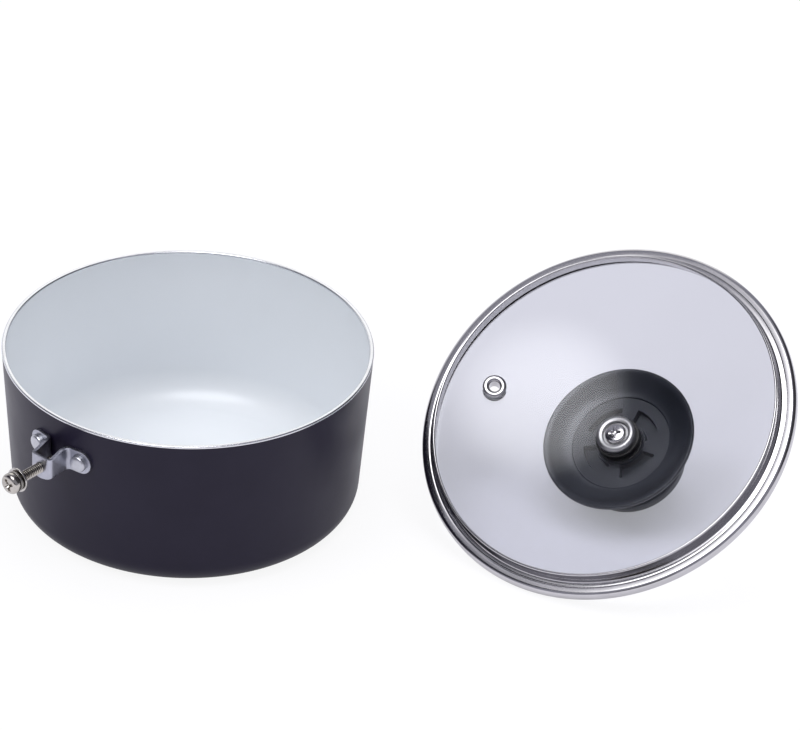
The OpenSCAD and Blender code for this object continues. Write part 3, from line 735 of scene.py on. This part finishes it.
def make_lid():
    """The lid's band, glass, vent and knob."""
    yield lathe("Lid_Rim_Band", band_outline(), AT_LID), "lid_rim_band"
    glass = lathe("Lid_Glass", glass_outline(), AT_LID)
    hole_r = VENT_BORE_D / 2 + VENT_TUBE_T + VENT_SEAL_T + FIT_GAP
    low, high = -DRILL_OVER, GLASS_T + DRILL_OVER
    drill = lathe("drill", [(0, low), (hole_r, low), (hole_r, high), (0, high)], AT_VENT, SMALL_STEPS)
    yield cut(glass, [drill]), "lid_glass"
    eyelet, cap, gasket = vent_outlines()
    yield lathe("Vent_Eyelet", eyelet, AT_VENT, SMALL_STEPS), "vent_eyelet"
    yield lathe("Vent_Washer", cap, AT_VENT, SMALL_STEPS), "vent_washer"
    yield lathe("Vent_Gasket", gasket, AT_VENT, SMALL_STEPS), "vent_gasket"
    yield make_knob_body(), "knob_body"
    under = AT_LID @ shift(0, 0, KNOB_HEAD_Z + KNOB_SCREW_LEN) @ turn(pi, "X")
    yield machine_screw("Knob_Screw", KNOB_SCREW_LEN, KNOB_HEAD_D, KNOB_HEAD_H, under), "knob_screw"
    yield lathe("Knob_Cup_Washer", cup_outline(), AT_LID, SMALL_STEPS), "knob_cup_washer"
    seal = washer_outline(THREAD_R + 2 * FIT_GAP, SEAL_R, SEAL_T, 0.3)
    yield lathe("Knob_Gasket", seal, AT_LID @ shift(0, 0, SEAL_Z), SMALL_STEPS), "knob_gasket"
    yield lathe("Knob_Bush", bush_outline(), AT_LID, SMALL_STEPS), "knob_bush"
    yield lathe("Knob_Thread_Insert", insert_outline(), AT_LID, SMALL_STEPS), "knob_thread_insert"


class Finish:
    """A material's nodes: the shader, and short calls that wire patterns into it."""

    def __init__(self, name, color, roughness, metallic=0.0, **sockets):
        self.material = bpy.data.materials.new(name)
        self.material.use_nodes = True
        self.tree = self.material.node_tree
        self.shader = self.tree.nodes["Principled BSDF"]
        self.color = color
        self.set("Base Color", (*color, 1))
        self.set("Roughness", roughness)
        self.set("Metallic", metallic)
        for socket, value in sockets.items():
            self.set(socket.replace("_", " "), value)

    def set(self, socket, value):
        """Sets one of the shader's own sockets."""
        self.shader.inputs[socket].default_value = value

    def node(self, kind, **settings):
        """A new node with its settings and plain inputs."""
        made = self.tree.nodes.new(kind)
        for name, value in settings.items():
            if hasattr(made, name):
                setattr(made, name, value)
            else:
                made.inputs[name.replace("_", " ")].default_value = value
        return made

    def wire(self, source, target):
        """Links an output socket to an input socket."""
        self.tree.links.new(source, target)

    def coordinates(self):
        """The piece's own coordinates, in metres, with Z along its axis."""
        return self.node("ShaderNodeAttribute", attribute_name="own").outputs["Vector"]

    def noise(self, scale, detail=3.0, vector=None):
        """A noise pattern's value. Scale is in waves per metre."""
        made = self.node("ShaderNodeTexNoise", Scale=scale, Detail=detail)
        self.wire(vector or self.coordinates(), made.inputs["Vector"])
        return made.outputs["Fac"]

    def ranged(self, value, low, high, start=0.3, end=0.7):
        """Maps a pattern's value to a range."""
        made = self.node("ShaderNodeMapRange")
        for socket, number in (("From Min", start), ("From Max", end), ("To Min", low), ("To Max", high)):
            made.inputs[socket].default_value = number
        self.wire(value, made.inputs["Value"])
        return made.outputs["Result"]

    def polar(self, round_share=0.02):
        """Coordinates of turned metal: distance from the axis and height count, the angle hardly does."""
        split = self.node("ShaderNodeSeparateXYZ")
        self.wire(self.coordinates(), split.inputs[0])
        flat = self.node("ShaderNodeCombineXYZ")
        self.wire(split.outputs[0], flat.inputs[0])
        self.wire(split.outputs[1], flat.inputs[1])
        reach = self.node("ShaderNodeVectorMath", operation="LENGTH")
        self.wire(flat.outputs[0], reach.inputs[0])
        unit = self.node("ShaderNodeVectorMath", operation="NORMALIZE")
        self.wire(flat.outputs[0], unit.inputs[0])
        spun = self.node("ShaderNodeVectorMath", operation="SCALE")
        spun.inputs["Scale"].default_value = round_share * MM * 10
        self.wire(unit.outputs[0], spun.inputs[0])
        lines = self.node("ShaderNodeCombineXYZ")
        self.wire(reach.outputs["Value"], lines.inputs[0])
        self.wire(split.outputs[2], lines.inputs[2])
        total = self.node("ShaderNodeVectorMath", operation="ADD")
        self.wire(lines.outputs[0], total.inputs[0])
        self.wire(spun.outputs[0], total.inputs[1])
        return total.outputs[0]

    def vary_color(self, value, other):
        """Moves the colour towards another by a pattern's value."""
        mix = self.node("ShaderNodeMix", data_type="RGBA")
        mix.inputs[6].default_value = (*self.color, 1)
        mix.inputs[7].default_value = (*other, 1)
        self.wire(value, mix.inputs[0])
        self.wire(mix.outputs[2], self.shader.inputs["Base Color"])

    def shade(self, mask, other):
        """Moves the patterned colour towards another where a mask is full."""
        color = self.shader.inputs["Base Color"]
        mix = self.node("ShaderNodeMix", data_type="RGBA")
        self.wire(color.links[0].from_socket, mix.inputs[6])
        mix.inputs[7].default_value = (*other, 1)
        self.wire(mask, mix.inputs[0])
        self.wire(mix.outputs[2], color)

    def vary_roughness(self, value, low, high):
        """Moves the roughness between two values by a pattern."""
        self.wire(self.ranged(value, low, high), self.shader.inputs["Roughness"])

    def bump(self, value, depth, strength=1.0):
        """Adds relief of a depth in millimetres, by a pattern's value."""
        made = self.node("ShaderNodeBump", Strength=strength, Distance=depth * MM)
        self.wire(value, made.inputs["Height"])
        last = self.shader.inputs["Normal"]
        if last.is_linked:
            self.wire(last.links[0].from_socket, made.inputs["Normal"])
        self.wire(made.outputs["Normal"], last)


def dark_coating():
    """Satin dark coat with a faint orange peel."""
    f = Finish("dark_coating", (0.010, 0.0075, 0.021), roughness=0.36, Specular_IOR_Level=0.22)
    f.vary_color(f.ranged(f.noise(60, detail=4), 0, 1), (0.012, 0.0095, 0.024))
    f.vary_roughness(f.noise(35, detail=5), 0.32, 0.40)
    f.bump(f.noise(1400, detail=2), depth=0.012, strength=0.35)
    f.bump(f.noise(160, detail=2), depth=0.03, strength=0.25)
    return f


def white_lining():
    """Smooth cool white ceramic."""
    f = Finish("white_lining", (0.685, 0.712, 0.752), roughness=0.3, Coat_Weight=0.2, Coat_Roughness=0.15)
    f.vary_color(f.noise(25, detail=3), (0.695, 0.722, 0.762))
    f.vary_roughness(f.noise(50, detail=4), 0.285, 0.335)
    f.bump(f.noise(900, detail=2), depth=0.008, strength=0.3)
    return f


def turned(name, color, roughness, spread, lines, depth):
    """Turned or spun metal with fine rings."""
    f = Finish(name, color, roughness, metallic=1.0)
    rings = f.noise(lines, 4, f.polar(round_share=0.2))
    f.vary_roughness(rings, max(roughness - spread, 0.03), roughness + spread)
    f.vary_color(f.ranged(f.noise(90, detail=3), 0, 1), tuple(c * 0.9 for c in color))
    f.bump(rings, depth=depth, strength=0.5)
    return f


def satin_metal(name, color, roughness, grain, depth, streaks=0):
    """Plated or blasted metal with a fine grain, and drawn streaks where they are given."""
    f = Finish(name, color, roughness, metallic=1.0)
    fine = f.noise(grain, 4)
    if streaks:
        drawn = f.node("ShaderNodeVectorMath", operation="MULTIPLY")
        drawn.inputs[1].default_value = (1, 1, 0.06)
        f.wire(f.coordinates(), drawn.inputs[0])
        f.bump(f.noise(streaks, 3, drawn.outputs[0]), depth=0.03, strength=0.5)
    f.vary_color(f.ranged(f.noise(grain / 8, 4), 0, 1), tuple(c * 0.72 for c in color))
    f.vary_roughness(fine, roughness - 0.07, roughness + 0.07)
    f.bump(fine, depth=depth, strength=0.4)
    return f


def screw_metal():
    """Nickel-plated steel, with painted shade: darker down in the thread's grooves."""
    f = satin_metal("screw_steel", (0.60, 0.57, 0.52), roughness=0.12, grain=1500, depth=0.004)
    # Painted shade: a mask that is full at the thread's root and fades out at its crest and below the head
    # darkens the colour there, where shade falls in the grooves.
    split = f.node("ShaderNodeSeparateXYZ")
    f.wire(f.polar(), split.inputs[0])
    root = (THREAD_R - SCREW_PITCH * THREAD_DEPTH_SHARE) * MM
    groove = f.ranged(split.outputs[0], 1, 0, root, THREAD_R * MM * 0.97)
    shank = f.ranged(split.outputs[2], 1, 0, (SCREW_LEN - 0.3) * MM, SCREW_LEN * MM)
    painted_groove_shade = f.node("ShaderNodeMath", operation="MULTIPLY")
    f.wire(groove, painted_groove_shade.inputs[0])
    f.wire(shank, painted_groove_shade.inputs[1])
    f.shade(painted_groove_shade.outputs[0], (0.28, 0.26, 0.23))
    return f


def black_plastic():
    """Satin black moulding with a faint grain."""
    f = Finish("knob_black", (0.013, 0.015, 0.020), roughness=0.3, Specular_IOR_Level=0.8)
    f.vary_color(f.noise(60, detail=2), (0.018, 0.020, 0.026))
    f.vary_roughness(f.noise(70, detail=4), 0.285, 0.36)
    f.bump(f.noise(2600, detail=2), depth=0.002, strength=0.2)
    return f


def rubber(name, color):
    """Soft silicone with a fine skin."""
    f = Finish(name, color, 0.55)
    f.vary_color(f.ranged(f.noise(200, detail=3), 0, 1), tuple(c * 0.85 for c in color))
    f.vary_roughness(f.noise(300, detail=3), 0.5, 0.65)
    f.bump(f.noise(3000, detail=2), depth=0.006, strength=0.4)
    return f


def clear_glass():
    """Clear tempered glass with a faint lavender tint that lets the lamps' light through."""
    f = Finish("lid_glass", (0.71, 0.72, 0.755), roughness=0.0, Transmission_Weight=1.0, IOR=1.45,
               Specular_Tint=(0.6, 0.6, 0.6, 1))
    f.bump(f.noise(40, detail=2), depth=0.02, strength=0.05)
    path = f.node("ShaderNodeLightPath")
    clear = f.node("ShaderNodeBsdfTransparent")
    clear.inputs["Color"].default_value = (0.93, 0.935, 0.96, 1)
    mix = f.node("ShaderNodeMixShader")
    f.wire(path.outputs["Is Shadow Ray"], mix.inputs[0])
    f.wire(f.shader.outputs[0], mix.inputs[1])
    f.wire(clear.outputs[0], mix.inputs[2])
    f.wire(mix.outputs[0], f.tree.nodes["Material Output"].inputs["Surface"])
    return f


FINISHES = {
    "aluminium": turned(
        "aluminium", (0.78, 0.79, 0.81), roughness=0.21, spread=0.055, lines=2500, depth=0.01
    ),
    "dark_coating": dark_coating(),
    "white_lining": white_lining(),
    "plated_steel": satin_metal(
        "plated_steel", (0.49, 0.50, 0.56), roughness=0.36, grain=900, depth=0.016, streaks=700
    ),
    "rivet_metal": satin_metal("rivet_metal", (0.62, 0.63, 0.67), roughness=0.36, grain=1100, depth=0.01),
    "screw_steel": screw_metal(),
    "spring_steel": satin_metal("spring_steel", (0.42, 0.40, 0.37), roughness=0.36, grain=1400, depth=0.01),
    "washer_steel": turned(
        "washer_steel", (0.60, 0.58, 0.55), roughness=0.2, spread=0.06, lines=3000, depth=0.008
    ),
    "polished_steel": turned(
        "polished_steel", (0.60, 0.59, 0.60), roughness=0.12, spread=0.03, lines=1800, depth=0.002
    ),
    "satin_steel": turned(
        "satin_steel", (0.45, 0.45, 0.46), roughness=0.35, spread=0.06, lines=2600, depth=0.008
    ),
    "lid_glass": clear_glass(),
    "clear_silicone": rubber("clear_silicone", (0.60, 0.61, 0.63)),
    "knob_black": black_plastic(),
    "brass": turned("brass", (0.62, 0.48, 0.22), roughness=0.25, spread=0.06, lines=2500, depth=0.01),
    "black_rubber": rubber("black_rubber", (0.015, 0.015, 0.016)),
}
SLOT_OF = {row["node"]: row["material_slot"] for row in frame["record"]["subparts"]}
BODY_OF = {node: body for body, nodes in frame["record"]["behaviour"]["bodies"].items() for node in nodes}


def dress(piece, node):
    """Gives a piece its node's finish, body and slot, and lets it stand for the node."""
    settle(piece)
    piece.data.materials.clear()
    piece.data.materials.append(FINISHES[SLOT_OF[node]].material)
    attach(piece, BODY_OF[node])
    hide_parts(node)


for maker in (make_pot, make_hardware, make_lid):
    for made, stands_for in maker():
        dress(made, stands_for)


# Camera: fitted to the photograph, in a frame that is turned with its direction
VIEW_AZ = radians(-50)
VIEW_EL = radians(32.161)
VIEW_ROLL = radians(2.224)
VIEW_FAR = 2.6448
VIEW_TARGET = Vector((0.09357, 0, 0.07080))
LENS = 270
SENSOR = 36

# What reflections show: how far the tent is, its tone, and its panels as a direction in the camera's
# turned frame (right, away, up), the angles where each is full and where it ends, and its tone
TENT_R = 3.0
TENT_COLOR = (0.34, 0.34, 0.40)
TENT_PANELS = (
    ((-0.15, -0.27, 0.95), 6, 25, (5.6, 5.6, 5.7)),
    ((-0.62, 0.75, 0.24), 14, 26, (0.85, 0.85, 0.9)),
    ((-0.78, -0.10, 0.60), 15, 26, (0.03, 0.03, 0.04)),
    ((0.82, 0.20, 0.54), 26, 40, (0.06, 0.06, 0.07)),
    ((-0.10, -1.0, 0.03), 9, 20, (0.06, 0.055, 0.05)),
    ((0, 0.87, 0.45), 12, 24, (1.3, 1.3, 1.3)),
)

# How far the floor glows white to each kind of ray, and the rays that see the surround white
FLOOR_SIZE = 6.0
FLOOR_GLOW = 1.04
FLOOR_SHARES = (("Is Camera Ray", 0.86), ("Is Glossy Ray", 0.38), ("Is Transmission Ray", 0.28))
WHITE_TO = ("Is Camera Ray", "Is Glossy Ray", "Is Transmission Ray")
AMBIENT = 0.45

# Lamps: where they aim, in metres, and the warm white of the two main ones
MIDDLE = (0.09, 0, 0.04)
WARM = (1, 0.99, 0.97)


def make_camera():
    """A long lens that looks down on the pot and the lid."""
    turned_by = turn(VIEW_AZ, "Z").to_3x3()
    back = Vector((0, -cos(VIEW_EL), sin(VIEW_EL)))
    up = Vector((0, sin(VIEW_EL), cos(VIEW_EL)))
    right = Vector((1, 0, 0))
    right, up = (
        cos(VIEW_ROLL) * right + sin(VIEW_ROLL) * up,
        cos(VIEW_ROLL) * up - sin(VIEW_ROLL) * right,
    )
    data = bpy.data.cameras.new("Camera")
    data.lens = LENS
    data.sensor_width = SENSOR
    data.clip_end = 20
    camera = bpy.data.objects.new("Camera", data)
    bpy.context.scene.collection.objects.link(camera)
    axes = Matrix([turned_by @ v for v in (right, up, back)]).transposed().to_4x4()
    axes.translation = turned_by @ (VIEW_TARGET + back * VIEW_FAR)
    camera.matrix_world = axes
    bpy.context.scene.camera = camera


def studio(x, y, z):
    """A point of the camera's turned frame, in metres: x is right, y is away from the camera."""
    return turn(VIEW_AZ, "Z") @ Vector((x, y, z))


def aim(thing, place, target):
    """Puts a lamp at a place, with its face towards a target."""
    thing.location = place
    thing.rotation_mode = "QUATERNION"
    thing.rotation_quaternion = (target - place).to_track_quat("-Z", "Y")


def lamp(name, place, target, width, height, power, color=(1, 1, 1)):
    """A soft rectangular lamp that reflections don't show."""
    data = bpy.data.lights.new(name, "AREA")
    data.shape = "RECTANGLE"
    data.size = width
    data.size_y = height
    data.energy = power
    data.color = color
    thing = bpy.data.objects.new(name, data)
    bpy.context.scene.collection.objects.link(thing)
    thing.visible_glossy = False
    thing.visible_transmission = False
    aim(thing, studio(*place), studio(*target))


def make_tent():
    """A studio tent that only shows in reflections and through glass: dim, with soft-edged panels."""
    bm = bmesh.new()
    bmesh.ops.create_uvsphere(bm, u_segments=64, v_segments=32, radius=TENT_R)
    tent = finish_mesh("Tent", bm, Matrix.Identity(4))
    tent.visible_camera = False
    tent.visible_diffuse = False
    tent.visible_shadow = False
    f = Finish("tent", TENT_COLOR, 1.0)
    spot = f.node("ShaderNodeVectorMath", operation="NORMALIZE")
    f.wire(f.node("ShaderNodeTexCoord").outputs["Object"], spot.inputs[0])
    last = None
    for towards, inner, outer, color in TENT_PANELS:
        facing = f.node("ShaderNodeVectorMath", operation="DOT_PRODUCT")
        f.wire(spot.outputs[0], facing.inputs[0])
        facing.inputs[1].default_value = studio(*towards).normalized()
        mask = f.node("ShaderNodeMapRange", interpolation_type="SMOOTHSTEP")
        mask.inputs["From Min"].default_value = cos(radians(outer))
        mask.inputs["From Max"].default_value = cos(radians(inner))
        f.wire(facing.outputs["Value"], mask.inputs["Value"])
        mix = f.node("ShaderNodeMix", data_type="RGBA")
        mix.inputs[6].default_value = (*TENT_COLOR, 1)
        mix.inputs[7].default_value = (*color, 1)
        if last:
            f.wire(last, mix.inputs[6])
        f.wire(mask.outputs["Result"], mix.inputs[0])
        last = mix.outputs[2]
    glow = f.node("ShaderNodeEmission")
    f.wire(last, glow.inputs["Color"])
    f.wire(glow.outputs[0], f.tree.nodes["Material Output"].inputs["Surface"])
    tent.data.materials.append(f.material)


def make_floor():
    """A pale plain floor that shows white where no shadow falls."""
    bm = bmesh.new()
    corners = ((-1, -1), (1, -1), (1, 1), (-1, 1))
    bm.faces.new([bm.verts.new((x * FLOOR_SIZE, y * FLOOR_SIZE, 0)) for x, y in corners])
    floor = finish_mesh("Floor", bm, Matrix.Identity(4))
    f = Finish("floor", (0.75, 0.74, 0.84), roughness=0.8, Specular_IOR_Level=0.2)
    f.vary_color(f.ranged(f.noise(2, detail=2), 0, 1), (0.74, 0.73, 0.83))
    glow = f.node("ShaderNodeEmission")
    glow.inputs["Color"].default_value = (1, 1, 1, 1)
    glow.inputs["Strength"].default_value = FLOOR_GLOW
    path = f.node("ShaderNodeLightPath")
    most = None
    for ray, share in FLOOR_SHARES:
        part = f.node("ShaderNodeMath", operation="MULTIPLY")
        part.inputs[1].default_value = share
        f.wire(path.outputs[ray], part.inputs[0])
        if most:
            larger = f.node("ShaderNodeMath", operation="MAXIMUM")
            f.wire(most, larger.inputs[0])
            f.wire(part.outputs[0], larger.inputs[1])
            most = larger.outputs[0]
        else:
            most = part.outputs[0]
    mix = f.node("ShaderNodeMixShader")
    f.wire(most, mix.inputs[0])
    f.wire(f.shader.outputs[0], mix.inputs[1])
    f.wire(glow.outputs[0], mix.inputs[2])
    f.wire(mix.outputs[0], f.tree.nodes["Material Output"].inputs["Surface"])
    floor.data.materials.append(f.material)


def make_world():
    """A plain surround: white to the camera, in reflections and through glass, dimmer as light."""
    world = bpy.data.worlds.new("Studio")
    bpy.context.scene.world = world
    world.use_nodes = True
    tree = world.node_tree
    light = tree.nodes["Background"]
    light.inputs["Color"].default_value = (0.93, 0.95, 1, 1)
    light.inputs["Strength"].default_value = AMBIENT
    white = tree.nodes.new("ShaderNodeBackground")
    white.inputs["Color"].default_value = (1, 1, 1, 1)
    path = tree.nodes.new("ShaderNodeLightPath")
    seen = path.outputs[WHITE_TO[0]]
    for ray in WHITE_TO[1:]:
        either = tree.nodes.new("ShaderNodeMath")
        either.operation = "MAXIMUM"
        tree.links.new(seen, either.inputs[0])
        tree.links.new(path.outputs[ray], either.inputs[1])
        seen = either.outputs[0]
    mix = tree.nodes.new("ShaderNodeMixShader")
    tree.links.new(seen, mix.inputs[0])
    tree.links.new(light.outputs[0], mix.inputs[1])
    tree.links.new(white.outputs[0], mix.inputs[2])
    tree.links.new(mix.outputs[0], tree.nodes["World Output"].inputs["Surface"])


make_camera()
make_floor()
make_world()
make_tent()
lamp("Key", (-1.2, -0.5, 1.6), MIDDLE, width=1.1, height=1.1, power=20, color=WARM)
lamp("Top", (0.35, 0.1, 1.65), MIDDLE, width=1.4, height=1.2, power=16, color=WARM)
lamp("Fill", (1.3, -0.9, 0.9), MIDDLE, width=0.9, height=0.9, power=5)

bpy.context.scene.view_settings.view_transform = "Standard"
